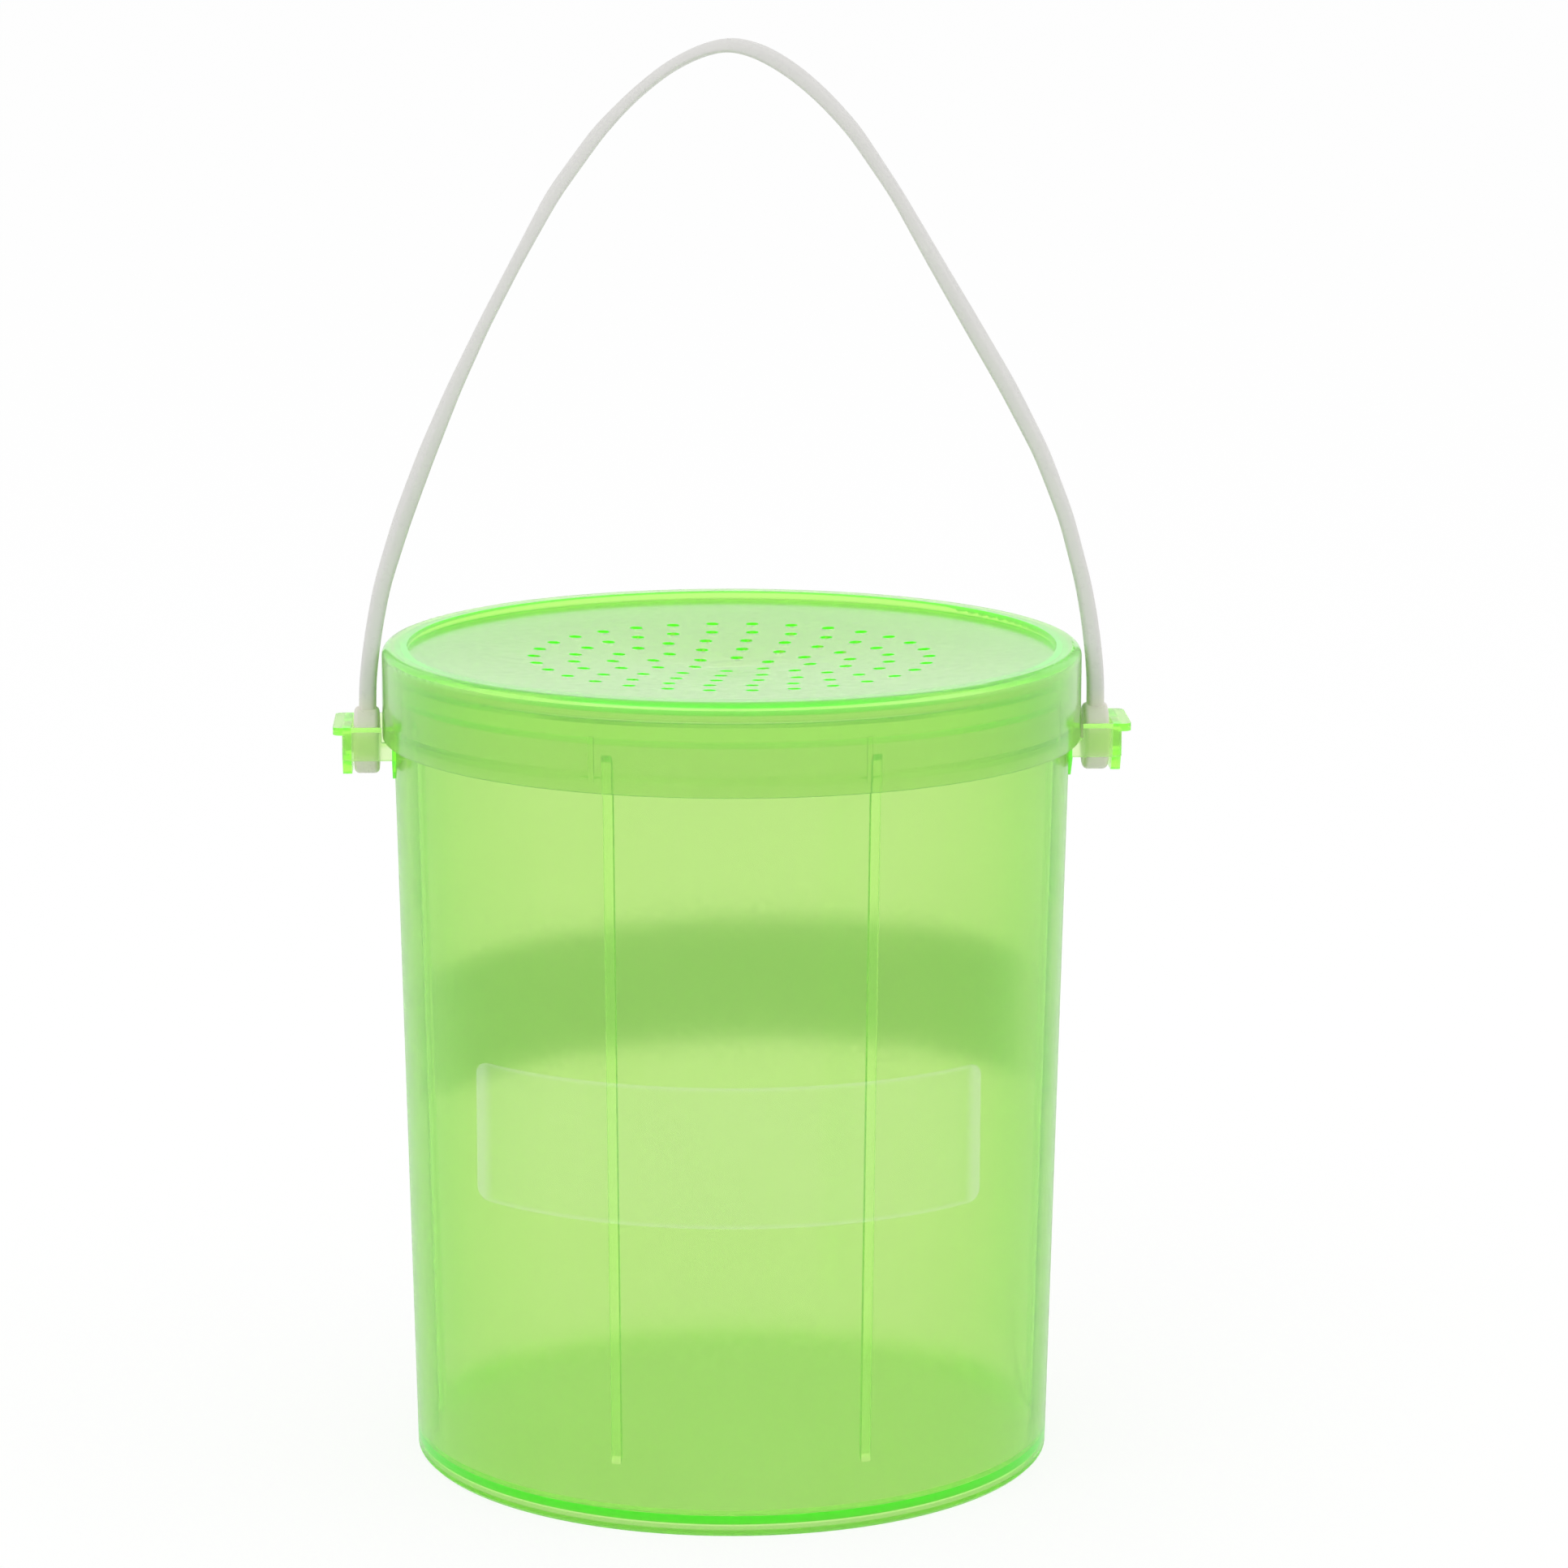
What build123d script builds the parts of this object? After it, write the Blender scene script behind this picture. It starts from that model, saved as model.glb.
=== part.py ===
from build123d import *
import os
from math import hypot

os.makedirs("parts", exist_ok=True)

# A small moulded bait pail with a vented press-on lid and a one-piece swinging bail.
# Millimetres and degrees. The pail stands on Z = 0 with its axis on Z, the ears that carry
# the bail lie on the X axis, and the clear label faces -Y.

# Bucket shell
base_radius = 45.9
wall_lean = 0.0230
wall = 1.2
rim_height = 114.9
foot_height = 1.3
foot_width = 2.4
floor_thickness = 1.3
base_edge = 0.45
floor_corner = 1.0
bead_height = 2.6
bead_thickness = 2.0
bead_overhang = 0.12
bead_edge = 0.4
bead_ramp = 0.8

# Ribs up the inside of the wall
rib_count = 8
rib_first_angle = 22.5
rib_width = 1.4
rib_proud = 0.6
rib_foot_height = 8.5
rib_run_out = 2.0
rib_top_gap = 0.4

# Lid
lid_bead_gap = 0.4
lid_wall = 0.9
lid_panel = 1.2
lid_rim_width = 3.6
lid_rim_rise = 1.05
lid_edge_round = 1.4
lid_edge_gap = 2.1
lid_dish = 2.5
skirt_depth = 12.95
snap_height = 1.5
snap_proud = 0.2
snap_above_skirt = 1.4
seat_rib_width = 0.9
seat_gap = 0.3
skirt_rib_count = 8
skirt_rib_width = 0.8
skirt_rib_proud = 0.2
skirt_rib_length = 6.3
lid_turn = -2.0              # the lid sits turned this far on the pail

# Air vents: rings of six more holes each, turned against each other; a hole is so small that
# eight sides stand for its round
vent_width = 1.8
vent_sides = 8
vent_ring_pitch = 5.65
vent_ring_turns = [22.5, 22.5, 3.0, 7.5, 0.0]
vents_per_ring_step = 6

# Bail: a flat arch with a round hub and a stub pin at each end
pivot_drop = 10.7
hub_radius = 4.8
hub_width = 3.55
hub_edge = 0.6
hub_skirt_gap = 0.45
pin_radius = 1.8
pin_clearance = 0.08
pin_short_of_face = 0.1
pin_tip_chamfer = 0.3
strap_depth = 3.2
strap_inset = 0.2
strap_leg_thickness = 2.5
strap_top_thickness = 1.6
arch_rise = 98.65
crown_round = 3.0

# Ears on the bucket
hub_side_gap = 0.3
tab_thickness = 1.3
cheek_thickness = 1.1
cheek_drop = 2.0
tab_drop = 4.5
tab_foot_half = 3.2
tongue_half = 4.4
tab_corner_round = 1.2
lip_rise = 2.8
lip_thickness = 1.1
lip_overhang = 1.3
lip_corner_round = 1.2
lip_chamfer = 0.8
ear_root_depth = 0.6
pad_proud = 0.25
pad_drop = 5.2
skirt_gap = 0.35

# Labels: a clear film on the front of the wall and a longer white one on the back
label_thickness = 0.12
label_glue_line = 0.1
label_corner_round = 1.8
label_height = 20.0
label_half_width = 35.0
label_middle = 54.5
label_shift = -1.45
back_label_height = 19.0
back_label_half_width = 45.0
back_label_middle = 57.9
back_label_turn = 1.8        # it was stuck on this far out of level
back_label_room = 2.0


def wall_radius(height):
    """Outer radius of the leaning bucket wall at a height above the ground."""
    return base_radius + wall_lean * height


# Sizes that follow
floor_top = foot_height + floor_thickness
bead_bottom = rim_height - bead_height
bead_radius = wall_radius(bead_bottom) + bead_overhang
bead_inner_radius = bead_radius - bead_thickness
lid_radius = bead_radius + lid_bead_gap + lid_wall
lid_top = rim_height + lid_edge_gap + lid_rim_rise
skirt_bottom = lid_top - skirt_depth
skirt_inner_radius = lid_radius - lid_wall
panel_edge_radius = lid_radius - lid_rim_width
panel_edge_height = lid_top - lid_rim_rise
pivot_height = rim_height - pivot_drop
hub_inner = lid_radius + hub_skirt_gap
hub_outer = hub_inner + hub_width
tab_inner = hub_outer + hub_side_gap
tab_outer = tab_inner + tab_thickness
pocket_half = hub_radius + hub_side_gap
cheek_outer = pocket_half + cheek_thickness
cheek_bottom = pivot_height - cheek_drop
lip_top = pivot_height + lip_rise
ear_root = wall_radius(pivot_height - pad_drop) - ear_root_depth
skirt_cut_bottom = skirt_bottom - skirt_gap

# Bucket: one turned shell with a raised floor, a standing ring and a thick rim bead
with BuildPart() as rib:
    rib_top = bead_bottom - bead_ramp - rib_top_gap
    with BuildSketch(Plane.XZ) as rib_side:
        with BuildLine():
            Polyline(
                (wall_radius(rib_foot_height) - wall / 2, rib_foot_height),
                (wall_radius(rib_top) - wall / 2, rib_top),
                (wall_radius(rib_top) - wall - rib_proud, rib_top - rib_run_out),
                (wall_radius(rib_foot_height) - wall - rib_proud, rib_foot_height + rib_run_out),
                close=True,
            )
        make_face()
    extrude(amount=rib_width / 2, both=True)

with BuildPart() as ear:
    # Cheeks before and behind the hub, closed on the outside by the tab
    with BuildSketch(Plane.XY.offset(cheek_bottom)) as cheeks:
        with Locations((ear_root, 0)):
            Rectangle(tab_outer - ear_root, 2 * cheek_outer, align=(Align.MIN, Align.CENTER))
        fillet(cheeks.vertices().group_by(Axis.X)[-1], tab_corner_round)
        with Locations((ear_root, 0)):
            Rectangle(
                tab_inner - ear_root, 2 * pocket_half, align=(Align.MIN, Align.CENTER), mode=Mode.SUBTRACT
            )
    extrude(amount=lip_top - cheek_bottom)
    # Flat lip round the mouth of the pocket
    with BuildSketch(Plane.XY.offset(lip_top - lip_thickness)) as lip:
        with Locations((ear_root, 0)):
            Rectangle(
                tab_outer + lip_overhang - ear_root, 2 * cheek_outer, align=(Align.MIN, Align.CENTER)
            )
        fillet(lip.vertices().group_by(Axis.X)[-1], lip_corner_round)
        with Locations((ear_root, 0)):
            Rectangle(
                tab_inner - ear_root, 2 * pocket_half, align=(Align.MIN, Align.CENTER), mode=Mode.SUBTRACT
            )
    extrude(amount=lip_thickness)
    # The lip's inner edges are cut back so that the bail can lean over
    with BuildSketch(Plane.YZ.offset(ear_root)) as lean_room:
        for side in (-1, 1):
            with BuildLine():
                Polyline(
                    (side * pocket_half, lip_top - lip_chamfer),
                    (side * (pocket_half + lip_chamfer), lip_top),
                    (side * pocket_half, lip_top),
                    close=True,
                )
            make_face()
    extrude(amount=tab_inner - ear_root, mode=Mode.SUBTRACT)
    # Tongue of the tab below the cheeks
    with BuildSketch(Plane.YZ.offset(tab_inner)) as tongue:
        with BuildLine():
            Polyline(
                (-tongue_half, cheek_bottom + cheek_thickness),
                (-tongue_half, cheek_bottom),
                (-tab_foot_half, pivot_height - tab_drop),
                (tab_foot_half, pivot_height - tab_drop),
                (tongue_half, cheek_bottom),
                (tongue_half, cheek_bottom + cheek_thickness),
                close=True,
            )
        make_face()
        fillet(tongue.vertices().group_by(Axis.Y)[0], tab_corner_round)
    extrude(amount=tab_thickness)
    # Flat pad on the bucket wall behind the hub
    with BuildSketch(Plane.YZ.offset(ear_root)) as pad:
        with BuildLine():
            Polyline(
                (-cheek_outer, skirt_cut_bottom),
                (-cheek_outer, cheek_bottom),
                (-tab_foot_half, pivot_height - pad_drop),
                (tab_foot_half, pivot_height - pad_drop),
                (cheek_outer, cheek_bottom),
                (cheek_outer, skirt_cut_bottom),
                close=True,
            )
        make_face()
        fillet(pad.vertices().group_by(Axis.Y)[0], tab_corner_round)
    extrude(amount=wall_radius(pivot_height - pad_drop) + pad_proud - ear_root)
    # Hole for the stub pin
    with BuildSketch(Plane.YZ.offset(tab_inner)):
        with Locations((0, pivot_height)):
            Circle(pin_radius + pin_clearance)
    extrude(amount=tab_thickness, mode=Mode.SUBTRACT)
    # Room for the lid's skirt
    with BuildSketch(Plane.XY.offset(skirt_cut_bottom)):
        Circle(lid_radius + skirt_gap)
    extrude(amount=lip_top, mode=Mode.SUBTRACT)

with BuildPart() as bucket:
    with BuildSketch(Plane.XZ) as shell:
        with BuildLine():
            Polyline(
                (0, foot_height),
                (base_radius - foot_width, foot_height),
                (base_radius - foot_width, 0),
                (base_radius, 0),
                (wall_radius(bead_bottom), bead_bottom),
                (bead_radius, bead_bottom),
                (bead_radius, rim_height),
                (bead_inner_radius, rim_height),
                (bead_inner_radius, bead_bottom),
                (wall_radius(bead_bottom - bead_ramp) - wall, bead_bottom - bead_ramp),
                (wall_radius(floor_top) - wall, floor_top),
                (0, floor_top),
                close=True,
            )
        make_face()
        foot_edges, underside_corners, floor_corners = shell.vertices().group_by(Axis.Y)[:3]
        chamfer(floor_corners.sort_by(Axis.X)[-1], floor_corner)
        chamfer(foot_edges, base_edge)
        chamfer(shell.vertices().group_by(Axis.Y)[-1], bead_edge)
    revolve(axis=Axis.Z)
    with PolarLocations(0, rib_count, start_angle=rib_first_angle):
        add(rib.part)
    add(ear.part)
    mirror(ear.part, about=Plane.YZ)
bucket.part.label = "bucket"
export_step(bucket.part, "parts/bucket.step")

# Lid: a dished panel inside a raised rim, with a skirt that presses over the bucket's bead
with BuildPart() as lid:
    seat_rib_middle = (bead_radius + bead_inner_radius) / 2
    rim_underside = lid_top - lid_panel
    with BuildSketch(Plane.XZ) as lid_section:
        with BuildLine():
            Polyline(
                (0, panel_edge_height - lid_dish),
                (panel_edge_radius, panel_edge_height),
                (panel_edge_radius, lid_top),
                (lid_radius, lid_top),
                (lid_radius, skirt_bottom),
                (skirt_inner_radius, skirt_bottom),
                (skirt_inner_radius, rim_underside),
                (panel_edge_radius + lid_panel, rim_underside),
                (panel_edge_radius, panel_edge_height - lid_panel),
                (0, panel_edge_height - lid_dish - lid_panel),
                close=True,
            )
        make_face()
        fillet(lid_section.vertices().group_by(Axis.Y)[-1].sort_by(Axis.X)[-1], lid_edge_round)
    revolve(axis=Axis.Z)
    # Seat rib that lands on the bucket's rim
    with BuildSketch(Plane.XZ):
        with Locations((seat_rib_middle, rim_height + seat_gap)):
            Rectangle(
                seat_rib_width, rim_underside - rim_height - seat_gap + lid_panel / 2,
                align=(Align.CENTER, Align.MIN),
            )
    revolve(axis=Axis.Z)
    # Snap ridge round the inside of the skirt
    snap_bottom = skirt_bottom + snap_above_skirt
    with BuildSketch(Plane.XZ):
        with BuildLine():
            Polyline(
                (skirt_inner_radius + lid_wall / 2, snap_bottom),
                (skirt_inner_radius, snap_bottom),
                (skirt_inner_radius - snap_proud, snap_bottom + snap_height / 2),
                (skirt_inner_radius, snap_bottom + snap_height),
                (skirt_inner_radius + lid_wall / 2, snap_bottom + snap_height),
                close=True,
            )
        make_face()
    revolve(axis=Axis.Z)
    # Short upright ribs on the inside of the skirt
    with BuildSketch(Plane.XY.offset(snap_bottom)):
        with PolarLocations(skirt_inner_radius, skirt_rib_count, start_angle=rib_first_angle + lid_turn):
            Rectangle(2 * skirt_rib_proud, skirt_rib_width)
    extrude(amount=skirt_rib_length)
    # Air vents through the panel
    with BuildSketch(Plane.XY.offset(lid_top)):
        for ring, turn in enumerate(vent_ring_turns, start=1):
            with PolarLocations(
                ring * vent_ring_pitch, ring * vents_per_ring_step, start_angle=turn + lid_turn
            ):
                RegularPolygon(vent_width / 2, vent_sides, major_radius=False)
    extrude(amount=-lid_rim_rise - lid_dish - 2 * lid_panel, mode=Mode.SUBTRACT)
lid.part.label = "lid"
export_step(lid.part, "parts/lid.step")

# Bail: the arch's middle line as shares of its half span and of its rise above the pivot,
# from the hub to the crown
arch_shares = [
    (1.000, 0.070),
    (0.995, 0.130),
    (0.978, 0.201),
    (0.938, 0.275),
    (0.840, 0.416),
    (0.681, 0.584),
    (0.504, 0.751),
    (0.367, 0.862),
    (0.215, 0.945),
    (0.000, 1.000),
]
strap_inner = hub_inner + strap_inset
strap_middle = strap_inner + strap_leg_thickness / 2
arch_points = [(strap_middle * across, pivot_height + arch_rise * up) for across, up in arch_shares]


def beside_arch(index, share):
    """Point at one side of the arch's middle line, a share of the strap's thickness away."""
    here_x, here_z = arch_points[index]
    next_x, next_z = arch_points[min(index + 1, len(arch_points) - 1)]
    last_x, last_z = arch_points[max(index - 1, 0)]
    run = hypot(next_x - last_x, next_z - last_z)
    fade = index / (len(arch_points) - 1)
    thickness = strap_leg_thickness + (strap_top_thickness - strap_leg_thickness) * fade
    offset = share * thickness
    return (here_x + offset * (next_z - last_z) / run, here_z - offset * (next_x - last_x) / run)


with BuildPart() as bail:
    below_crown = range(len(arch_points) - 1)
    outer_crown = (0, pivot_height + arch_rise + strap_top_thickness / 2)
    inner_crown = (0, pivot_height + arch_rise - strap_top_thickness / 2)
    outer_side = [beside_arch(index, 0.5) for index in below_crown] + [outer_crown]
    inner_side = [beside_arch(index, -0.5) for index in below_crown] + [inner_crown]
    with BuildSketch(Plane.XZ) as strap_side:
        with BuildLine():
            Line((strap_inner, pivot_height), (strap_inner + strap_leg_thickness, pivot_height))
            Line((strap_inner + strap_leg_thickness, pivot_height), outer_side[0])
            Spline(*outer_side)
            Line(outer_crown, inner_crown)
            Spline(*inner_side)
            Line(inner_side[0], (strap_inner, pivot_height))
        make_face()
        mirror(about=Plane.YZ)
        fillet(strap_side.vertices().group_by(Axis.Y)[-1], crown_round)
    extrude(amount=strap_depth / 2, both=True)
    # Hubs and pins are turned about the pivot line
    for side in (-1, 1):
        with BuildSketch(Plane.XZ) as hub_half:
            with BuildLine():
                Polyline(
                    (side * hub_inner, pivot_height),
                    (side * hub_inner, pivot_height + hub_radius),
                    (side * hub_outer, pivot_height + hub_radius),
                    (side * hub_outer, pivot_height),
                    close=True,
                )
            make_face()
            chamfer(hub_half.vertices().group_by(Axis.Y)[-1], hub_edge)
        revolve(axis=Axis((0, 0, pivot_height), (1, 0, 0)))
        pin_end = tab_outer - pin_short_of_face
        with BuildSketch(Plane.XZ) as pin_half:
            with BuildLine():
                Polyline(
                    (side * hub_outer, pivot_height),
                    (side * hub_outer, pivot_height + pin_radius),
                    (side * (pin_end - pin_tip_chamfer), pivot_height + pin_radius),
                    (side * pin_end, pivot_height + pin_radius - pin_tip_chamfer),
                    (side * pin_end, pivot_height),
                    close=True,
                )
            make_face()
        revolve(axis=Axis((0, 0, pivot_height), (1, 0, 0)))
bail.part.label = "bail"
export_step(bail.part, "parts/bail.step")

def wall_sleeve(bottom, top):
    """Thin ring that lies along the leaning wall between two heights, a glue line away from it."""
    film_inner = label_glue_line
    film_outer = label_glue_line + label_thickness
    with BuildPart() as sleeve:
        with BuildSketch(Plane.XZ):
            with BuildLine():
                Polyline(
                    (wall_radius(bottom) + film_inner, bottom),
                    (wall_radius(bottom) + film_outer, bottom),
                    (wall_radius(top) + film_outer, top),
                    (wall_radius(top) + film_inner, top),
                    close=True,
                )
            make_face()
        revolve(axis=Axis.Z)
    return sleeve.part


# Front label: clear film with rounded corners
with BuildPart() as label_film:
    add(wall_sleeve(label_middle - label_height / 2, label_middle + label_height / 2))
    with BuildSketch(Plane.XZ):
        with Locations((label_shift, label_middle)):
            RectangleRounded(2 * label_half_width, label_height, label_corner_round)
    extrude(amount=bead_radius, mode=Mode.INTERSECT)
label_film.part.label = "label_film"
export_step(label_film.part, "parts/label_film.step")

# Back label: white film round the back half of the wall, a little out of level
with BuildPart() as back_label:
    half_room = back_label_height / 2 + back_label_room
    add(wall_sleeve(back_label_middle - half_room, back_label_middle + half_room))
    with BuildSketch(Plane.XZ):
        with Locations(Location((0, back_label_middle), back_label_turn)):
            RectangleRounded(2 * back_label_half_width, back_label_height, label_corner_round)
    extrude(amount=-bead_radius, mode=Mode.INTERSECT)
back_label.part.label = "back_label"
export_step(back_label.part, "parts/back_label.step")
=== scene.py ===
import math

import bpy
import numpy as np
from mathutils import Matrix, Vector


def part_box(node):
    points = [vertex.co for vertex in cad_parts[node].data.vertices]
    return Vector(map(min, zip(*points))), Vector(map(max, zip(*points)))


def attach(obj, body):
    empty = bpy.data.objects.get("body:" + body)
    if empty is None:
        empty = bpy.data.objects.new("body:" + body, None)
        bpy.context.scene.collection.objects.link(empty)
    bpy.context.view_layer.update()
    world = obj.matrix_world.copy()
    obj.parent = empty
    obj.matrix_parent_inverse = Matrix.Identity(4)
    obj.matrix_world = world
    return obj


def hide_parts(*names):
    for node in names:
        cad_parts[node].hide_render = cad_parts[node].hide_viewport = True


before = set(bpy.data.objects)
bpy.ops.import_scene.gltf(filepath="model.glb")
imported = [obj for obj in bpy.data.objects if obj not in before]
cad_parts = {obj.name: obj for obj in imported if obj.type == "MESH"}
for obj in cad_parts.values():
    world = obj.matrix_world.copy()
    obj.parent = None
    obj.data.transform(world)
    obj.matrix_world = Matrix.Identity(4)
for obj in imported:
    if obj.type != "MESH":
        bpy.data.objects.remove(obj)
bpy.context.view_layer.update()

# A small translucent bait pail on a white table, seen a little from above. Metres, except in the
# bail's section, which is in millimetres. +Z is up, the label faces -Y and the ears lie on X.


# Bucket: one injection moulding in light green polypropylene, clear enough to look through.
# The wall, floor, ribs and ears are one piece, with the faint ripple that a polished mould and
# the flow of the plastic leave.
WALL_THICKNESS = 0.0012
# How far the wall's middle line stands from the axis at the table, and how much it gains upwards
WALL_MIDDLE = 0.0453
WALL_LEAN = 0.0230
BUCKET_PASS = (0.88, 0.999, 0.70)
BUCKET_TINTS = ((0.90, 0.91, 0.75), (0.93, 0.94, 0.80))
BUCKET_CLOUD = (0.66, 1.0, 0.46)
# Painted glow: the green that the plastic gives off of itself, for the light its dye gathers
PAINTED_GLOW = (0.32, 1.0, 0.22)
LAMP_PASS = (0.50, 0.62, 0.40)
# Painted pale glow on the ribs, ears and the lid's rim
PAINTED_EDGE_GLOW = (0.62, 1.0, 0.58)
PLASTIC_IOR = 1.49
MOULD_GRAIN = 900.0
GRAIN_HEIGHT = 0.04


def add_node(tree, kind, place, operation=None, **values):
    """A node of a kind at a place in the editor, with its operation where it has one. Values go to
    the inputs of the same names, where a name's underscore stands for a blank."""
    made = tree.nodes.new(kind)
    made.location = place
    if operation:
        made.operation = operation
    for name, value in values.items():
        made.inputs[name.replace("_", " ")].default_value = value
    return made


def moulded_surface():
    """Group: slow waves and fine grain on a moulded face, out as a tone, a roughness and a height."""
    tree = bpy.data.node_groups.new("moulded surface", "ShaderNodeTree")
    for name in ("Wave Size", "Polish"):
        tree.interface.new_socket(name, in_out="INPUT", socket_type="NodeSocketFloat")
    for name in ("Tone", "Roughness", "Height"):
        tree.interface.new_socket(name, in_out="OUTPUT", socket_type="NodeSocketFloat")
    inside = add_node(tree, "NodeGroupInput", (-900, 0))
    outside = add_node(tree, "NodeGroupOutput", (500, 0))
    where = add_node(tree, "ShaderNodeTexCoord", (-900, 300))
    slow = add_node(tree, "ShaderNodeTexNoise", (-500, 200), Detail=2.0, Roughness=0.4)
    fine = add_node(tree, "ShaderNodeTexNoise", (-500, -200), Scale=MOULD_GRAIN, Detail=3.0)
    tree.links.new(where.outputs["Object"], slow.inputs["Vector"])
    tree.links.new(where.outputs["Object"], fine.inputs["Vector"])
    tree.links.new(inside.outputs["Wave Size"], slow.inputs["Scale"])
    spread = add_node(
        tree, "ShaderNodeMapRange", (-200, -200), From_Min=0.3, From_Max=0.7, To_Min=0.75, To_Max=1.4
    )
    tree.links.new(fine.outputs["Fac"], spread.inputs["Value"])
    rough = add_node(tree, "ShaderNodeMath", (100, -200), "MULTIPLY")
    tree.links.new(spread.outputs["Result"], rough.inputs[0])
    tree.links.new(inside.outputs["Polish"], rough.inputs[1])
    height = add_node(tree, "ShaderNodeMath", (100, 200), "MULTIPLY_ADD")
    height.inputs[1].default_value = GRAIN_HEIGHT
    tree.links.new(fine.outputs["Fac"], height.inputs[0])
    tree.links.new(slow.outputs["Fac"], height.inputs[2])
    tree.links.new(slow.outputs["Fac"], outside.inputs["Tone"])
    tree.links.new(rough.outputs[0], outside.inputs["Roughness"])
    tree.links.new(height.outputs[0], outside.inputs["Height"])
    return tree


moulded = moulded_surface()


def lay_surface(material, tints, polish, wave_size, wave_height):
    """Puts the moulded surface on a material's own shader, its tone running between two tints."""
    tree = material.node_tree
    body = tree.nodes["Principled BSDF"]
    surface = add_node(tree, "ShaderNodeGroup", (-700, 0))
    surface.node_tree = moulded
    surface.inputs["Wave Size"].default_value = wave_size
    surface.inputs["Polish"].default_value = polish
    tone = add_node(tree, "ShaderNodeMix", (-400, 200))
    tone.data_type = "RGBA"
    tone.inputs["A"].default_value = (*tints[0], 1.0)
    tone.inputs["B"].default_value = (*tints[1], 1.0)
    bump = add_node(tree, "ShaderNodeBump", (-400, -200), Strength=1.0, Distance=wave_height)
    tree.links.new(surface.outputs["Tone"], tone.inputs["Factor"])
    tree.links.new(surface.outputs["Height"], bump.inputs["Height"])
    tree.links.new(tone.outputs["Result"], body.inputs["Base Color"])
    tree.links.new(surface.outputs["Roughness"], body.inputs["Roughness"])
    tree.links.new(bump.outputs["Normal"], body.inputs["Normal"])
    return body


def clear_plastic(name, passed, tints, cloud, haze, glow, polish, wave_size, wave_height, lamp):
    """Clear coloured plastic. passed is the share of light that the dye leaves behind one wall.
    cloud is the colour of its haze, and haze its share straight on and at a slant, where a ray
    runs further inside. glow is the strength of a painted glow on a metre of path inside, a
    stand-in for the light that the green plastic gathers, and lamp is the tint of what a lamp
    sends through."""
    material = bpy.data.materials.new(name)
    material.use_nodes = True
    tree = material.node_tree
    body = lay_surface(material, tints, polish, wave_size, wave_height)
    body.inputs["Transmission Weight"].default_value = 1.0
    body.inputs["IOR"].default_value = PLASTIC_IOR
    slant = add_node(tree, "ShaderNodeLayerWeight", (-200, 400), Blend=0.5)
    share = add_node(tree, "ShaderNodeMapRange", (0, 400), From_Min=0.2, To_Min=haze[0], To_Max=haze[1])
    tree.links.new(slant.outputs["Facing"], share.inputs["Value"])
    milk = add_node(tree, "ShaderNodeBsdfTranslucent", (0, -300), Color=(*cloud, 1.0))
    hazy = add_node(tree, "ShaderNodeMixShader", (250, 0))
    hazy.name = "hazy"
    tree.links.new(share.outputs["Result"], hazy.inputs["Fac"])
    tree.links.new(body.outputs["BSDF"], hazy.inputs[1])
    tree.links.new(milk.outputs["BSDF"], hazy.inputs[2])
    # Lamps shine through the plastic with a tint of its own instead of being stopped by it
    path = add_node(tree, "ShaderNodeLightPath", (250, 400))
    through = add_node(tree, "ShaderNodeBsdfTransparent", (250, -300), Color=(*lamp, 1.0))
    choose = add_node(tree, "ShaderNodeMixShader", (500, 0))
    tree.links.new(path.outputs["Is Shadow Ray"], choose.inputs["Fac"])
    tree.links.new(hazy.outputs["Shader"], choose.inputs[1])
    tree.links.new(through.outputs["BSDF"], choose.inputs[2])
    out = tree.nodes["Material Output"]
    tree.links.new(choose.outputs["Shader"], out.inputs["Surface"])
    # The dye takes more light the further a ray runs inside. The density stands a little over
    # the strongest of the three colours' rates, because the colour must stay above zero
    taken = [-math.log(part) / WALL_THICKNESS for part in passed]
    density = 1.05 * max(taken)
    passed_on = (*[1 - one / density for one in taken], 1.0)
    dye = add_node(tree, "ShaderNodeVolumeAbsorption", (250, -500), Density=density, Color=passed_on)
    tree.links.new(dye.outputs["Volume"], out.inputs["Volume"])
    # A painted glow is added on that way: where a ray meets a face from inside, the face
    # shines green with the length of the way through the plastic, as a stand-in for the light that
    # the dye gathers
    side = add_node(tree, "ShaderNodeNewGeometry", (-1100, 1300))
    inside = add_node(tree, "ShaderNodeMath", (-900, 1300), "MULTIPLY")
    painted_glow_colour = add_node(tree, "ShaderNodeVectorMath", (-700, 1300), "SCALE")
    painted_glow_colour.inputs[0].default_value = [glow * one for one in PAINTED_GLOW]
    tree.links.new(path.outputs["Ray Length"], inside.inputs[0])
    tree.links.new(side.outputs["Backfacing"], inside.inputs[1])
    tree.links.new(inside.outputs[0], painted_glow_colour.inputs["Scale"])
    tree.links.new(painted_glow_colour.outputs["Vector"], body.inputs["Emission Color"])
    body.inputs["Emission Strength"].default_value = 1.0
    material.cycles.emission_sampling = "NONE"
    return material


def add_painted_light(material, mask, strength):
    """Adds a painted pale glow, which stands in for the light a thick edge gathers, to what a clear
    plastic gives, as far as a mask goes.
    """
    tree = material.node_tree
    given = tree.nodes["Principled BSDF"].inputs["Emission Color"]
    both = add_node(tree, "ShaderNodeVectorMath", (-300, 700), "MULTIPLY_ADD")
    both.inputs[1].default_value = [strength * one for one in PAINTED_EDGE_GLOW]
    before = given.links[0].from_socket
    tree.links.new(mask, both.inputs[0])
    tree.links.new(before, both.inputs[2])
    tree.links.new(both.outputs["Vector"], given)


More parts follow.
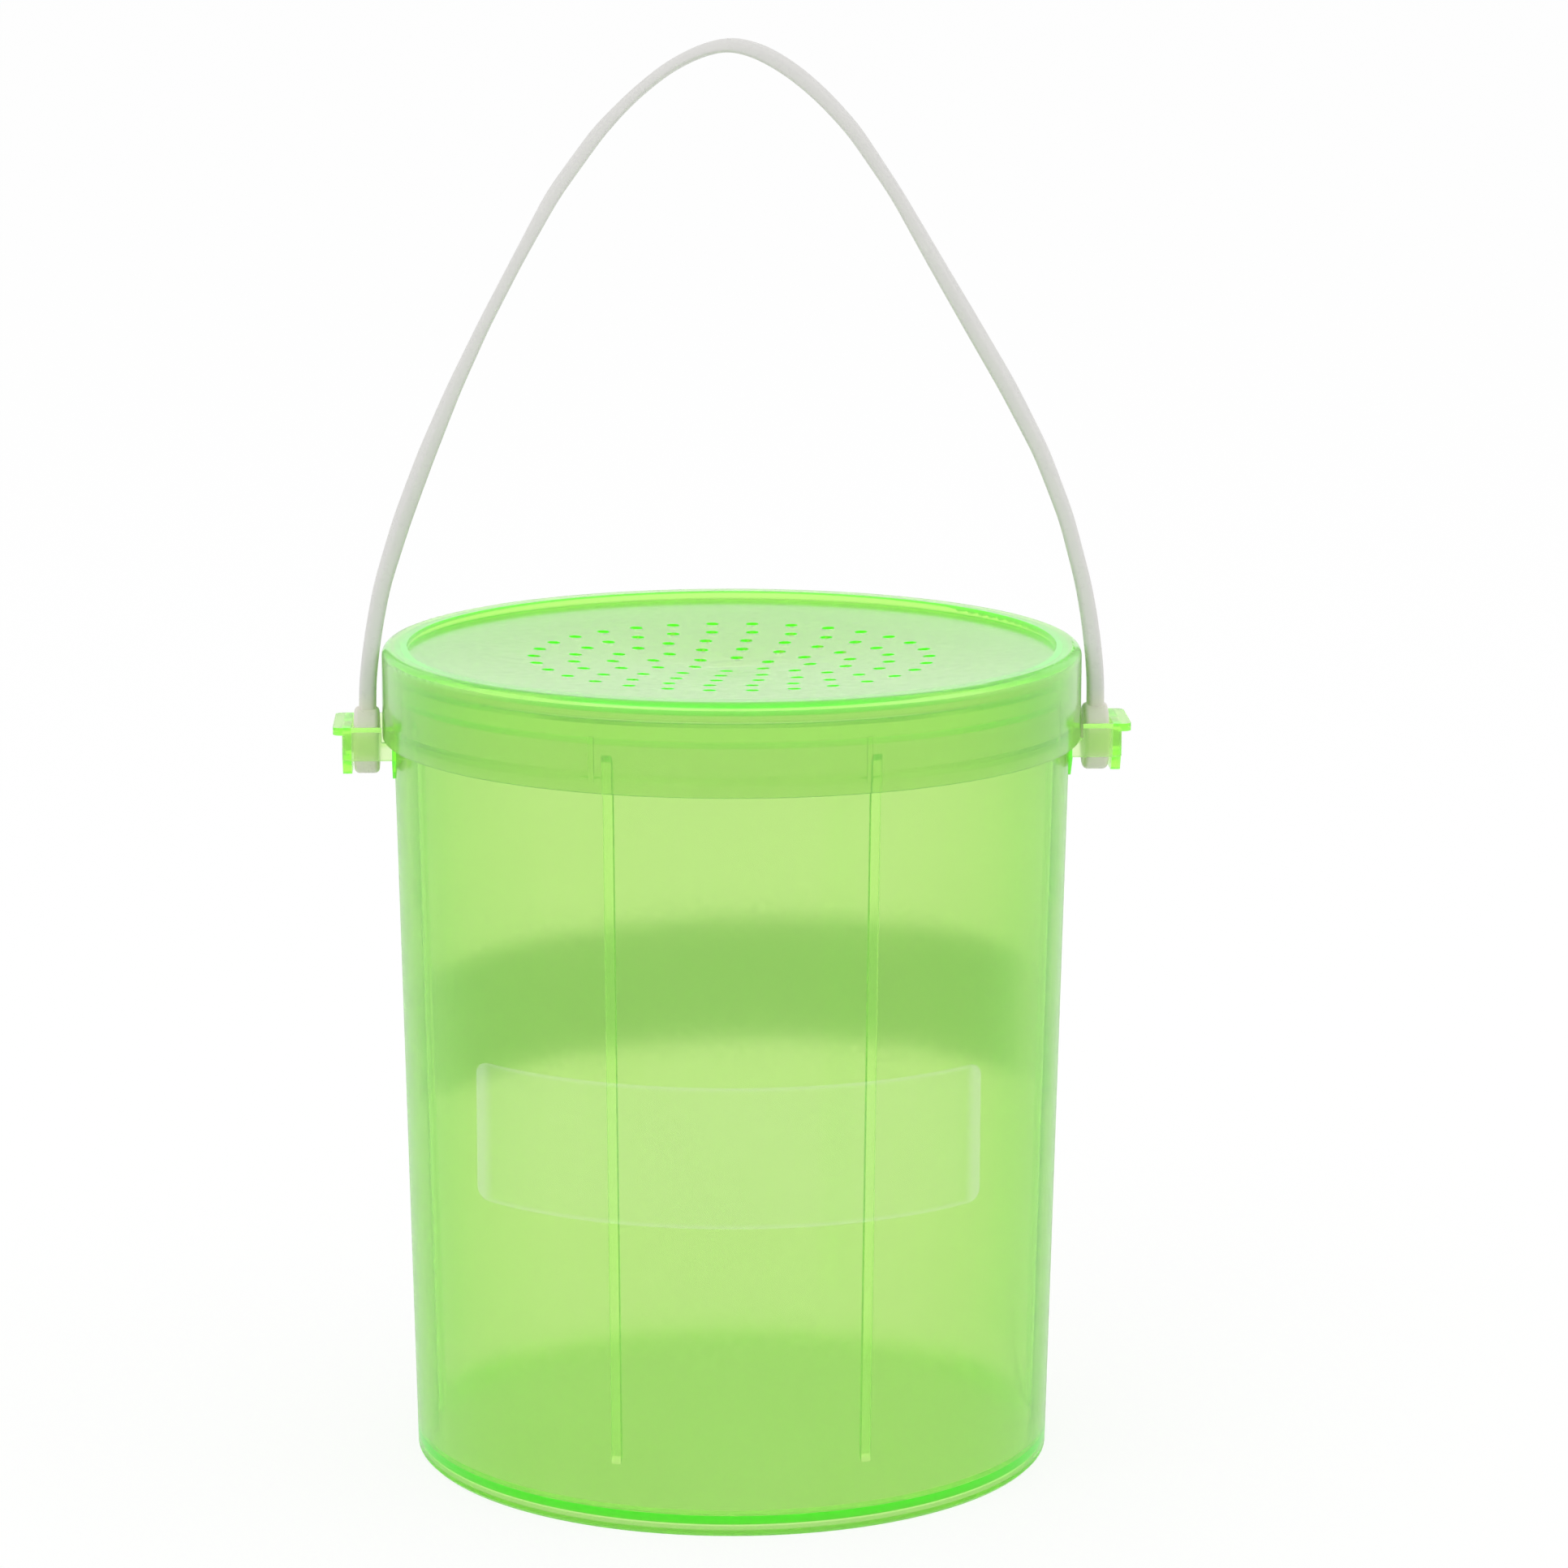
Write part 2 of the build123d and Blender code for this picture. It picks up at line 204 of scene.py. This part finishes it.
def paint_glow_on_thick_spots(material, strength):
    """Paints a glow on the ribs and ears, a painted highlight for the light that the thick plastic
    gathers: a face shines more the further it lies from the wall's middle line, from about half a
    wall's thickness on. The floor, well inside the wall, gets none of it."""
    tree = material.node_tree
    where = add_node(tree, "ShaderNodeTexCoord", (-1700, 700))
    split = add_node(tree, "ShaderNodeSeparateXYZ", (-1500, 900))
    flat = add_node(tree, "ShaderNodeVectorMath", (-1500, 600), "MULTIPLY")
    flat.inputs[1].default_value = (1.0, 1.0, 0.0)
    away = add_node(tree, "ShaderNodeVectorMath", (-1300, 600), "LENGTH")
    wall = add_node(tree, "ShaderNodeMath", (-1300, 900), "MULTIPLY_ADD")
    wall.inputs[1].default_value = WALL_LEAN
    wall.inputs[2].default_value = WALL_MIDDLE
    off_wall = add_node(tree, "ShaderNodeMath", (-1100, 800), "SUBTRACT")
    off_size = add_node(tree, "ShaderNodeMath", (-900, 800), "ABSOLUTE")
    spot = add_node(
        tree, "ShaderNodeMapRange", (-700, 800),
        From_Min=0.55 * WALL_THICKNESS, From_Max=0.95 * WALL_THICKNESS,
    )
    spot.interpolation_type = "SMOOTHSTEP"
    outside = add_node(tree, "ShaderNodeMath", (-900, 500), "GREATER_THAN")
    outside.inputs[1].default_value = WALL_MIDDLE - 1.1 * WALL_THICKNESS
    painted_spot_glow = add_node(tree, "ShaderNodeMath", (-500, 700), "MULTIPLY")
    for start, end in (
        (where.outputs["Object"], split.inputs["Vector"]),
        (where.outputs["Object"], flat.inputs[0]),
        (flat.outputs["Vector"], away.inputs[0]),
        (split.outputs["Z"], wall.inputs[0]),
        (away.outputs["Value"], off_wall.inputs[0]),
        (wall.outputs[0], off_wall.inputs[1]),
        (off_wall.outputs[0], off_size.inputs[0]),
        (off_size.outputs[0], spot.inputs["Value"]),
        (away.outputs["Value"], outside.inputs[0]),
        (spot.outputs["Result"], painted_spot_glow.inputs[0]),
        (outside.outputs[0], painted_spot_glow.inputs[1]),
    ):
        tree.links.new(start, end)
    add_painted_light(material, painted_spot_glow.outputs[0], strength)


def cloud_thick_part(material, full, none, share):
    """Lets a thick ring look cloudy instead of clear. The haze has the given share from one height
    on, and falls off to the share of the plain wall at another."""
    tree = material.node_tree
    hazy = tree.nodes["hazy"]
    before = hazy.inputs["Fac"].links[0].from_socket
    where = add_node(tree, "ShaderNodeTexCoord", (-500, 1300))
    split = add_node(tree, "ShaderNodeSeparateXYZ", (-300, 1300))
    low = add_node(
        tree, "ShaderNodeMapRange", (-100, 1300),
        From_Min=full, From_Max=none, To_Min=share, To_Max=0.0,
    )
    most = add_node(tree, "ShaderNodeMath", (100, 1100), "MAXIMUM")
    tree.links.new(where.outputs["Object"], split.inputs["Vector"])
    tree.links.new(split.outputs["Z"], low.inputs["Value"])
    tree.links.new(low.outputs["Result"], most.inputs[0])
    tree.links.new(before, most.inputs[1])
    tree.links.new(most.outputs[0], hazy.inputs["Fac"])


def dress(node, material):
    """Gives a CAD node its finish."""
    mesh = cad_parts[node].data
    mesh.materials.clear()
    mesh.materials.append(material)


bucket_plastic = clear_plastic(
    "green bucket plastic", passed=BUCKET_PASS, tints=BUCKET_TINTS, cloud=BUCKET_CLOUD,
    haze=(0.10, 0.30), glow=28.0, polish=0.15, wave_size=45.0, wave_height=0.00004, lamp=LAMP_PASS,
)
# Painted glow on the ribs and ears
paint_glow_on_thick_spots(bucket_plastic, strength=0.06)
# The standing ring under the floor
cloud_thick_part(bucket_plastic, full=0.00095, none=0.00125, share=0.45)
dress("bucket", bucket_plastic)


# Front label: a clear adhesive film stuck on the wall, with nothing on it. It only shows by its
# edge and by a flatter shine than the plastic under it.
FILM_TINTS = ((0.86, 0.93, 0.80), (0.93, 0.97, 0.89))
FILM_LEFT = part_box("label_film")[0].x
FILM_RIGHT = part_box("label_film")[1].x
FILM_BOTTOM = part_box("label_film")[0].z
FILM_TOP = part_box("label_film")[1].z
FILM_COVER = 0.03


def clear_film(name):
    """Clear film that is stuck flat: it hardly covers the wall, but its rim holds a pale line
    where the glue ends. The cover is the larger of a ramp from the near side edge and one from
    the near upper or lower edge, over a faint even part."""
    material = bpy.data.materials.new(name)
    material.use_nodes = True
    tree = material.node_tree
    body = lay_surface(material, FILM_TINTS, polish=0.12, wave_size=90.0, wave_height=0.00001)
    where = add_node(tree, "ShaderNodeTexCoord", (-1300, -500))
    split = add_node(tree, "ShaderNodeSeparateXYZ", (-1100, -500))
    tree.links.new(where.outputs["Object"], split.inputs["Vector"])
    ramps = []
    for axis, low, high, width, cover in (
        ("X", FILM_LEFT, FILM_RIGHT, 0.0022, 0.16),
        ("Z", FILM_BOTTOM, FILM_TOP, 0.0007, 0.09),
    ):
        middle = add_node(tree, "ShaderNodeMath", (-900, -500), "SUBTRACT")
        middle.inputs[1].default_value = (low + high) / 2
        tree.links.new(split.outputs[axis], middle.inputs[0])
        away = add_node(tree, "ShaderNodeMath", (-700, -500), "ABSOLUTE")
        tree.links.new(middle.outputs[0], away.inputs[0])
        half = (high - low) / 2
        ramp = add_node(
            tree, "ShaderNodeMapRange", (-500, -500),
            From_Min=half - width, From_Max=half - 0.4 * width, To_Min=FILM_COVER, To_Max=cover,
        )
        tree.links.new(away.outputs[0], ramp.inputs["Value"])
        ramps.append(ramp)
    most = add_node(tree, "ShaderNodeMath", (-250, -500), "MAXIMUM")
    tree.links.new(ramps[0].outputs["Result"], most.inputs[0])
    tree.links.new(ramps[1].outputs["Result"], most.inputs[1])
    tree.links.new(most.outputs[0], body.inputs["Alpha"])
    return material


dress("label_film", clear_film("clear label film"))


# Back label: a white adhesive film stuck round the back of the wall, with nothing on it. From the
# front it shows as a darker band, because it stops the light that comes from behind.
WHITE_FILM_TINTS = ((0.91, 0.95, 0.90), (0.95, 0.99, 0.94))
WHITE_FILM_IOR = 1.45


def white_film(name, tints, polish, backlight):
    """White label film with a satin face; backlight is the share of light that soaks through."""
    material = bpy.data.materials.new(name)
    material.use_nodes = True
    tree = material.node_tree
    body = lay_surface(material, tints, polish, wave_size=120.0, wave_height=0.00002)
    body.inputs["IOR"].default_value = WHITE_FILM_IOR
    soak = add_node(tree, "ShaderNodeBsdfTranslucent", (0, -300), Color=(*tints[1], 1.0))
    blend = add_node(tree, "ShaderNodeMixShader", (250, 0), Fac=backlight)
    tree.links.new(body.outputs["BSDF"], blend.inputs[1])
    tree.links.new(soak.outputs["BSDF"], blend.inputs[2])
    tree.links.new(blend.outputs["Shader"], tree.nodes["Material Output"].inputs["Surface"])
    return material


dress("back_label", white_film("white label film", WHITE_FILM_TINTS, polish=0.35, backlight=0.58))


# Lid: the same green polypropylene, moulded in one piece with a raised rim and a dished and
# vented panel, and pressed on over the bucket's bead.
LID_PASS = (0.85, 0.999, 0.65)
LID_CLOUD = (0.74, 1.0, 0.62)
lid_plastic = clear_plastic(
    "green lid plastic", passed=LID_PASS, tints=BUCKET_TINTS, cloud=LID_CLOUD,
    haze=(0.12, 0.14), glow=42.0, polish=0.16, wave_size=55.0, wave_height=0.00004, lamp=LAMP_PASS,
)
# The lid's polished faces mirror more of the white room than the bucket's do
lid_gloss = lid_plastic.node_tree.nodes["Principled BSDF"].inputs
lid_gloss["Coat Weight"].default_value = 0.4
lid_gloss["Coat Roughness"].default_value = 0.12


def paint_glow_on_rim(material, none, full, strength):
    """Paints a glow on the lid's raised rim, for the light that the rim gathers: its faces shine a
    little from one height on, and do not shine below another."""
    tree = material.node_tree
    where = add_node(tree, "ShaderNodeTexCoord", (-1300, 700))
    split = add_node(tree, "ShaderNodeSeparateXYZ", (-1100, 700))
    high = add_node(tree, "ShaderNodeMapRange", (-900, 700), From_Min=none, From_Max=full)
    tree.links.new(where.outputs["Object"], split.inputs["Vector"])
    tree.links.new(split.outputs["Z"], high.inputs["Value"])
    add_painted_light(material, high.outputs["Result"], strength)


# Painted glow on the lid's rim
paint_glow_on_rim(lid_plastic, none=0.1164, full=0.1172, strength=0.06)
dress("lid", lid_plastic)


# Bail: one strap of undyed milky polyethylene, with a round hub and a stub pin moulded on each
# end. It has been bent by hand, so the arch is a little uneven and the flat strap twists. All
# sizes here are in millimetres.
PIVOT_HEIGHT = 104.2
HUB_INNER = 50.353
HUB_OUTER = 53.903
HUB_RADIUS = 4.8
HUB_ROUND = 0.7
PIN_RADIUS = 1.8
PIN_END = 55.4
PIN_ROUND = 0.35
STRAP_DEPTH = 3.2
STRAP_SQUARENESS = 3.4
# Millimetres across, up and thick, and degrees of twist, from the left hub to the right one
STRAP_LINE = np.array([
    (-52.05, 104.2, 2.5, 0), (-51.95, 112.6, 2.45, 0), (-51.4, 117.3, 2.4, 0), (-50.65, 121.9, 2.4, 2),
    (-49.7, 126.6, 2.35, 5), (-46.75, 135.9, 2.35, 14), (-43.2, 145.2, 2.25, 14), (-39.3, 154.4, 1.95, 8),
    (-34.9, 163.6, 1.75, 1), (-30.1, 172.7, 1.7, 0), (-25.1, 181.8, 1.9, 6), (-18.5, 190.8, 1.9, 2),
    (-13.9, 195.5, 1.65, -6), (-9.25, 199.3, 1.6, -9), (-4.7, 201.75, 1.7, -9), (-0.2, 202.94, 2.0, 0),
    (4.4, 201.6, 2.1, 9), (8.9, 198.8, 2.1, 9), (12.85, 195.4, 2.05, 9), (17.1, 190.8, 2.0, 8),
    (23.2, 181.8, 1.85, 6), (28.45, 172.7, 2.1, 10), (33.8, 163.6, 2.2, 16), (39.2, 154.4, 2.3, 16),
    (44.0, 145.2, 2.25, 10), (47.65, 135.9, 2.25, 5), (50.15, 126.6, 2.3, 1), (51.05, 121.9, 2.35, 0),
    (51.7, 117.3, 2.4, 0), (52.15, 112.6, 2.45, 0), (52.15, 104.2, 2.5, 0),
])
SOFTENINGS = 10
STRAP_RINGS = 300
STRAP_SIDES = 32
HUB_SIDES = 64
CORNER_STEPS = 7
CAP_RADIUS = 0.5


def skin(rings, first):
    """Closed skin over a stack of rings: four-sided faces between neighbouring rings, and a fan of
    triangles from each end ring to its middle. Returns its points and its faces, whose corners
    count the points from the number of its first one."""
    count, around = rings.shape[:2]
    points = np.vstack([rings.reshape(-1, 3), rings[0].mean(axis=0), rings[-1].mean(axis=0)])
    here = first + np.arange(around)
    after = np.roll(here, -1)
    row = np.arange(count - 1)[:, None] * around
    sides = np.stack([row + here, row + after, row + around + after, row + around + here], axis=-1)
    last = (count - 1) * around
    start_middle = np.full(around, first + count * around)
    start_fan = np.stack([start_middle, after, here], axis=-1)
    end_fan = np.stack([start_middle + 1, last + here, last + after], axis=-1)
    return points, sides.reshape(-1, 4).tolist() + start_fan.tolist() + end_fan.tolist()


def strap_rings():
    """The strap's sections: rounded oblongs |u|^n + |v|^n = 1 across the thickness and the depth,
    stood square to the middle line and turned by the twist. The line runs straight between its
    points at first, and is then averaged with its neighbours until it bends softly."""
    steps = np.hypot(*np.diff(STRAP_LINE[:, :2], axis=0).T)
    along = np.concatenate([[0.0], np.cumsum(steps)])
    even = np.linspace(0.0, along[-1], STRAP_RINGS)
    line = np.stack([np.interp(even, along, column) for column in STRAP_LINE.T], axis=1)
    for _ in range(SOFTENINGS):
        line[1:-1] = (line[:-2] + 2 * line[1:-1] + line[2:]) / 4
    way = np.gradient(line[:, :2], axis=0)
    way /= np.hypot(way[:, 0], way[:, 1])[:, None]
    outward = np.stack([-way[:, 1], np.zeros(len(way)), way[:, 0]], axis=1)
    back = np.array([0.0, 1.0, 0.0])
    twist = np.radians(line[:, 3])[:, None]
    across = outward * np.cos(twist) - back * np.sin(twist)
    deep = back * np.cos(twist) + outward * np.sin(twist)
    turn = np.linspace(2 * np.pi, 0.0, STRAP_SIDES, endpoint=False)
    u = np.sign(np.cos(turn)) * np.abs(np.cos(turn)) ** (2 / STRAP_SQUARENESS)
    v = np.sign(np.sin(turn)) * np.abs(np.sin(turn)) ** (2 / STRAP_SQUARENESS)
    middle = np.stack([line[:, 0], np.zeros(len(line)), line[:, 1]], axis=1)[:, None, :]
    thick = line[:, 2][:, None, None] / 2 * across[:, None, :] * u[None, :, None]
    return middle + thick + STRAP_DEPTH / 2 * deep[:, None, :] * v[None, :, None]


def hub_rings(side):
    """A hub and its pin, turned about the pivot line: circles in planes of equal x, whose radius
    follows a profile with a quarter circle at each rounded edge. Rings that stand close together
    keep the shading crisp beside an edge."""
    quarter = np.linspace(0.0, np.pi / 2, CORNER_STEPS)
    sine, cosine = np.sin(quarter), np.cos(quarter)
    profile = np.concatenate([
        np.array([(HUB_INNER, CAP_RADIUS), (HUB_INNER, HUB_RADIUS - 1.2 * HUB_ROUND)]),
        np.stack([HUB_INNER + HUB_ROUND * (1 - cosine), HUB_RADIUS - HUB_ROUND * (1 - sine)], axis=1),
        np.stack([HUB_OUTER - HUB_ROUND * (1 - sine), HUB_RADIUS - HUB_ROUND * (1 - cosine)], axis=1),
        np.array([(HUB_OUTER, HUB_RADIUS - 1.2 * HUB_ROUND), (HUB_OUTER, PIN_RADIUS + 0.2)]),
        np.array([(HUB_OUTER + 0.02, PIN_RADIUS), (HUB_OUTER + 0.2, PIN_RADIUS)]),
        np.stack([PIN_END - PIN_ROUND * (1 - sine), PIN_RADIUS - PIN_ROUND * (1 - cosine)], axis=1),
        np.array([(PIN_END, CAP_RADIUS)]),
    ])
    turn = np.linspace(0.0, 2 * np.pi, HUB_SIDES, endpoint=False)
    far = np.repeat(side * profile[:, :1], len(turn), axis=1)
    deep = side * profile[:, 1:] * np.cos(turn)
    high = PIVOT_HEIGHT + profile[:, 1:] * np.sin(turn)
    return np.stack([far, deep, high], axis=-1)


points, faces = np.empty((0, 3)), []
for rings in (strap_rings(), hub_rings(-1), hub_rings(1)):
    skin_points, skin_faces = skin(rings, len(points))
    points = np.vstack([points, skin_points])
    faces += skin_faces
bent_bail = bpy.data.meshes.new("bent bail")
bent_bail.from_pydata(points / 1000, [], faces)
bent_bail.shade_smooth()
bail = bpy.data.objects.new("bent_bail", bent_bail)
bpy.context.scene.collection.objects.link(bail)
BAIL_TINTS = ((0.81, 0.80, 0.785), (0.86, 0.85, 0.835))
HUB_TINT = (0.98, 0.94, 0.84)
HUB_WARMTH = 0.7


def milky_plastic(name, tints, polish, backlight):
    """Undyed milky plastic: a satin skin over a share of light that soaks through and scatters.
    It is warmer near the pivot line, where the hubs are thick."""
    material = bpy.data.materials.new(name)
    material.use_nodes = True
    tree = material.node_tree
    body = lay_surface(material, tints, polish, wave_size=40.0, wave_height=0.00003)
    tone = body.inputs["Base Color"].links[0].from_socket
    where = add_node(tree, "ShaderNodeTexCoord", (-1300, 600))
    from_pivot = add_node(tree, "ShaderNodeVectorMath", (-1100, 600), "SUBTRACT")
    from_pivot.inputs[1].default_value = (0.0, 0.0, PIVOT_HEIGHT / 1000)
    flat = add_node(tree, "ShaderNodeVectorMath", (-900, 600), "MULTIPLY")
    flat.inputs[1].default_value = (0.0, 1.0, 1.0)
    away = add_node(tree, "ShaderNodeVectorMath", (-700, 600), "LENGTH")
    near = add_node(
        tree, "ShaderNodeMapRange", (-500, 600),
        From_Min=HUB_RADIUS / 1000, From_Max=1.5 * HUB_RADIUS / 1000, To_Min=HUB_WARMTH, To_Max=0.0,
    )
    warm = add_node(tree, "ShaderNodeMix", (-250, 500))
    warm.data_type = "RGBA"
    warm.inputs["B"].default_value = (*HUB_TINT, 1.0)
    soak = add_node(tree, "ShaderNodeBsdfTranslucent", (0, -300))
    blend = add_node(tree, "ShaderNodeMixShader", (250, 0), Fac=backlight)
    for start, end in (
        (where.outputs["Object"], from_pivot.inputs[0]),
        (from_pivot.outputs["Vector"], flat.inputs[0]),
        (flat.outputs["Vector"], away.inputs[0]),
        (away.outputs["Value"], near.inputs["Value"]),
        (near.outputs["Result"], warm.inputs["Factor"]),
        (tone, warm.inputs["A"]),
        (warm.outputs["Result"], body.inputs["Base Color"]),
        (warm.outputs["Result"], soak.inputs["Color"]),
        (body.outputs["BSDF"], blend.inputs[1]),
        (soak.outputs["BSDF"], blend.inputs[2]),
        (blend.outputs["Shader"], tree.nodes["Material Output"].inputs["Surface"]),
    ):
        tree.links.new(start, end)
    return material


bent_bail.materials.append(
    milky_plastic("milky bail plastic", BAIL_TINTS, polish=0.3, backlight=0.25)
)
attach(bail, "bail")
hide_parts("bail")


# Table: a pale sheet that runs out of sight. It is white to the eye and in gloss, by a glow under
# a faint shaded part that keeps the pail's shadow, and a plain pale table to every other ray.
TABLE_SIZE = 30.0
TABLE_TONE = 0.9
SEEN_GLOW = 0.84
SEEN_TONE = 0.17
bpy.ops.mesh.primitive_plane_add(size=TABLE_SIZE, location=(0.0, 0.0, 0.0))
table = bpy.context.object
table.name = "table"
sheet = bpy.data.materials.new("white table")
sheet.use_nodes = True
tree = sheet.node_tree
plain = tree.nodes["Principled BSDF"]
plain.inputs["Base Color"].default_value = (TABLE_TONE, TABLE_TONE, TABLE_TONE, 1.0)
plain.inputs["Roughness"].default_value = 0.9
path = add_node(tree, "ShaderNodeLightPath", (-600, 300))
seen = add_node(tree, "ShaderNodeMath", (-300, 300), "MAXIMUM")
tree.links.new(path.outputs["Is Camera Ray"], seen.inputs[0])
tree.links.new(path.outputs["Is Glossy Ray"], seen.inputs[1])
glow = add_node(tree, "ShaderNodeEmission", (-300, 0), Color=(1.0, 1.0, 1.0, 1.0), Strength=SEEN_GLOW)
shaded = (SEEN_TONE, SEEN_TONE, SEEN_TONE, 1.0)
faint = add_node(tree, "ShaderNodeBsdfDiffuse", (-300, -200), Color=shaded)
both = add_node(tree, "ShaderNodeAddShader", (0, -100))
tree.links.new(glow.outputs[0], both.inputs[0])
tree.links.new(faint.outputs[0], both.inputs[1])
pick = add_node(tree, "ShaderNodeMixShader", (250, 0))
tree.links.new(seen.outputs[0], pick.inputs["Fac"])
tree.links.new(plain.outputs[0], pick.inputs[1])
tree.links.new(both.outputs[0], pick.inputs[2])
tree.links.new(pick.outputs[0], tree.nodes["Material Output"].inputs["Surface"])
table.data.materials.append(sheet)


# Light: a white room, plain white to the eye, in gloss and through the plastic, and a little
# weaker as light. A large soft lamp stands above the front left and a weaker one at the right.
ROOM_SEEN = 1.0
ROOM_LIGHT = 0.88
world = bpy.data.worlds.new("white room")
bpy.context.scene.world = world
world.use_nodes = True
tree = world.node_tree
room = tree.nodes["Background"]
room.inputs["Color"].default_value = (1.0, 1.0, 1.0, 1.0)
path = add_node(tree, "ShaderNodeLightPath", (-900, 0))
seen = add_node(tree, "ShaderNodeMath", (-600, 0), "MAXIMUM")
tree.links.new(path.outputs["Is Camera Ray"], seen.inputs[0])
tree.links.new(path.outputs["Is Glossy Ray"], seen.inputs[1])
any_sight = add_node(tree, "ShaderNodeMath", (-400, 0), "MAXIMUM")
tree.links.new(seen.outputs[0], any_sight.inputs[0])
tree.links.new(path.outputs["Is Transmission Ray"], any_sight.inputs[1])
level = add_node(tree, "ShaderNodeMapRange", (-200, 0), To_Min=ROOM_LIGHT, To_Max=ROOM_SEEN)
tree.links.new(any_sight.outputs[0], level.inputs["Value"])
tree.links.new(level.outputs["Result"], room.inputs["Strength"])


def soft_lamp(name, place, aim, size, watts):
    """A square area lamp at a place, turned to a point."""
    lamp = bpy.data.lights.new(name, "AREA")
    lamp.size = size
    lamp.energy = watts
    made = bpy.data.objects.new(name, lamp)
    bpy.context.scene.collection.objects.link(made)
    made.location = place
    way = [a - b for a, b in zip(aim, place)]
    across = math.hypot(way[0], way[1])
    made.rotation_euler = (math.atan2(across, -way[2]), 0.0, math.atan2(-way[0], way[1]))
    return made


PAIL_MIDDLE = (0.0, 0.0, 0.08)
soft_lamp("key lamp", (-0.6, -0.8, 1.1), PAIL_MIDDLE, size=0.9, watts=2.2)
soft_lamp("side lamp", (0.9, -0.3, 0.7), PAIL_MIDDLE, size=0.7, watts=0.8)


# Camera: a long lens a little above the lid, turned a little round the pail's axis. It looks
# down by the tilt, and its frame is moved sideways to put the axis where the photograph has it.
SENSOR_WIDTH = 36.0
FOCAL_PIXELS = 6639.0
PHOTO_PIXELS = 1932.0
AXIS_PIXEL = 901.5
CAMERA_AWAY = 0.75878
CAMERA_HEIGHT = 0.2457
CAMERA_TURN = math.radians(-1.8)
CAMERA_TILT = math.radians(11.06)
eye = bpy.data.cameras.new("camera")
eye.sensor_width = SENSOR_WIDTH
eye.lens = eye.sensor_width * FOCAL_PIXELS / PHOTO_PIXELS
eye.shift_x = (PHOTO_PIXELS / 2 - AXIS_PIXEL) / PHOTO_PIXELS
camera = bpy.data.objects.new("camera", eye)
bpy.context.scene.collection.objects.link(camera)
camera_x, camera_y = CAMERA_AWAY * math.sin(CAMERA_TURN), -CAMERA_AWAY * math.cos(CAMERA_TURN)
camera.location = (camera_x, camera_y, CAMERA_HEIGHT)
camera.rotation_euler = (math.pi / 2 - CAMERA_TILT, 0.0, CAMERA_TURN)
bpy.context.scene.camera = camera
bpy.context.scene.view_settings.view_transform = "Standard"
